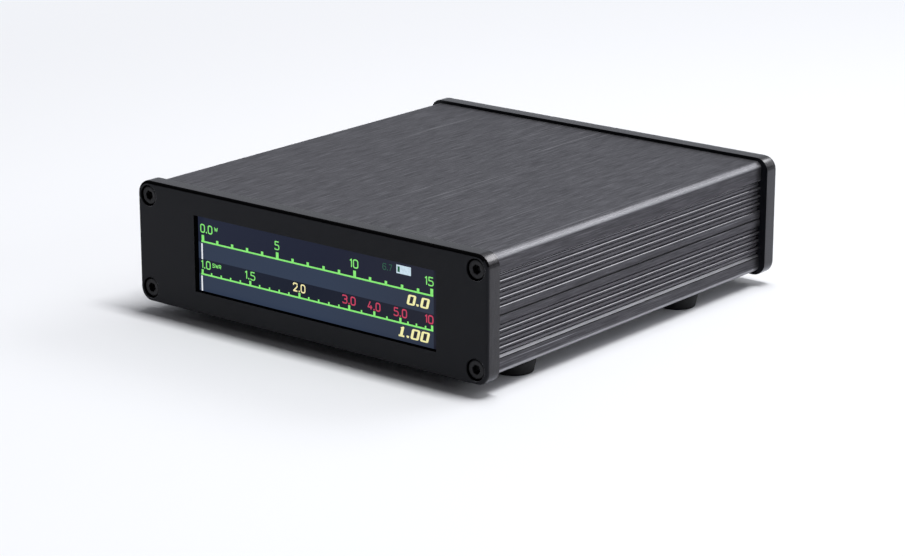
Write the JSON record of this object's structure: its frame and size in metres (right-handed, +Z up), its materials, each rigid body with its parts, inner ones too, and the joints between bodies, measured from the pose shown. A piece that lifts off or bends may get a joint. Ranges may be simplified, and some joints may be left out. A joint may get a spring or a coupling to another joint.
{
  "type": "swr meter",
  "caption": "Flat ribbed aluminium box with thick end panels, a windowed bar display at the front, and radio sockets, a rocker switch and a charging socket at the rear.",
  "frame": {"origin": "middle of the overall box's underside, at the level of the feet's soles", "axes": "+X to the right seen from the front, -Y out of the front panel, +Z up"},
  "size_m": [0.13, 0.15, 0.04],
  "materials": {
    "case_extrusion": "black anodised, brushed along the depth",
    "panel_anodised": "satin black anodised",
    "black_screws": "black oxide steel",
    "steel_screws": "zinc plated",
    "foot_rubber": "matt black",
    "display_glass": "glossy dark display cell",
    "display_light": "clear light guide",
    "tray_steel": "plain pressed steel",
    "board": "green solder mask",
    "ribbon": "white flat cable",
    "white_plastic": "white",
    "black_plastic": "moulded black",
    "rocker_plastic": "semi-gloss black",
    "cell_wrap": "blue shrink wrap",
    "socket_nickel": "bright nickel plate",
    "contact_silver": "silver plate",
    "line_copper": "bare copper",
    "core_ferrite": "dark ferrite",
    "terminal_brass": "bare brass",
    "lead_insulation": "red insulation",
    "lamp_plastic": "clear lens"
  },
  "bodies": {
    "case": {"upper_shell": "case_extrusion", "lower_shell": "case_extrusion", "front_panel": "panel_anodised", "rear_panel": "panel_anodised", "front_screw_top_left": "black_screws", "front_screw_top_right": "black_screws", "front_screw_bottom_left": "black_screws", "front_screw_bottom_right": "black_screws", "rear_screw_top_left": "black_screws", "rear_screw_top_right": "black_screws", "rear_screw_bottom_left": "black_screws", "rear_screw_bottom_right": "black_screws", "foot_front_left_screw": "black_screws", "foot_front_right_screw": "black_screws", "foot_rear_left_screw": "black_screws", "foot_rear_right_screw": "black_screws", "radio_screw_top_left": "black_screws", "radio_screw_top_right": "black_screws", "radio_screw_bottom_left": "black_screws", "radio_screw_bottom_right": "black_screws", "antenna_screw_top_left": "black_screws", "antenna_screw_top_right": "black_screws", "antenna_screw_bottom_left": "black_screws", "antenna_screw_bottom_right": "black_screws", "display_screw_top_left": "steel_screws", "display_screw_top_right": "steel_screws", "display_screw_bottom_left": "steel_screws", "display_screw_bottom_right": "steel_screws", "foot_front_left": "foot_rubber", "foot_front_right": "foot_rubber", "foot_rear_left": "foot_rubber", "foot_rear_right": "foot_rubber", "lcd_cell": "display_glass", "lcd_backlight": "display_light", "lcd_tray": "tray_steel", "charge_socket": "tray_steel", "display_board": "board", "main_board": "board", "display_ribbon": "ribbon", "ribbon_connector": "white_plastic", "radio_insulator": "white_plastic", "antenna_insulator": "white_plastic", "battery_holder": "black_plastic", "switch_housing": "black_plastic", "charge_tongue": "black_plastic", "battery_cell": "cell_wrap", "radio_socket": "socket_nickel", "antenna_socket": "socket_nickel", "radio_contact": "contact_silver", "antenna_contact": "contact_silver", "through_line": "line_copper", "forward_core": "core_ferrite", "reflected_core": "core_ferrite", "switch_terminal_1": "terminal_brass", "switch_terminal_2": "terminal_brass", "switch_lead_1": "lead_insulation", "switch_lead_2": "lead_insulation", "charge_light": "lamp_plastic"},
    "rocker": {"switch_rocker": "rocker_plastic"}
  },
  "joints": [
    {"name": "rocker_pivot", "type": "hinge", "parent": "case", "child": "rocker", "pos_m": [0.011, 0.0642, 0.02175], "axis": [1, 0, 0], "range_deg": [-20, 0]}
  ]
}
